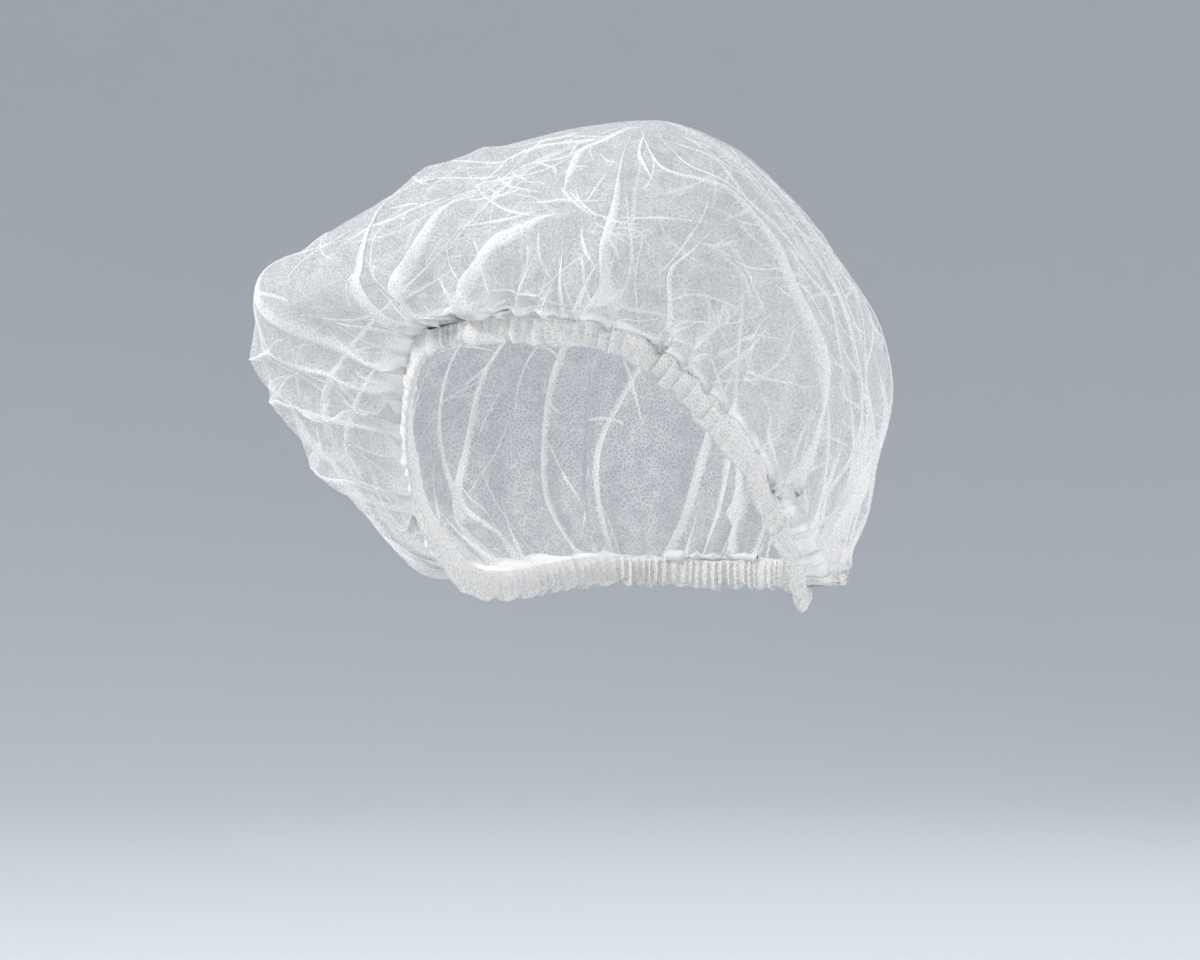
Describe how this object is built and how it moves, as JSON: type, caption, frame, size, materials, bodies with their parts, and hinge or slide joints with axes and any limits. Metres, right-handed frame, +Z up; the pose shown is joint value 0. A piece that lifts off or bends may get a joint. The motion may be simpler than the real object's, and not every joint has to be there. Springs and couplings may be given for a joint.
{
  "type": "disposable hair cover cap",
  "caption": "Bouffant hair cover of thin nonwoven, gathered on an elastic in a folded hem and puffed out over the hair, in the form it takes on a head.",
  "frame": {"origin": "middle of the elastic's loop, where the head sits, at the mean of the hem's forehead and nape heights", "axes": "+Z up, the wearer looks along -Y, and the wearer's left side is +X"},
  "size_m": [0.2406, 0.2224, 0.1859],
  "materials": {
    "crown": "matt spunbond nonwoven, one layer, half see-through",
    "hem": "matt spunbond nonwoven, folded double",
    "elastic": "matt, off-white"
  },
  "bodies": {
    "root": {"crown": "crown", "hem": "hem", "elastic": "elastic"}
  },
  "joints": []
}
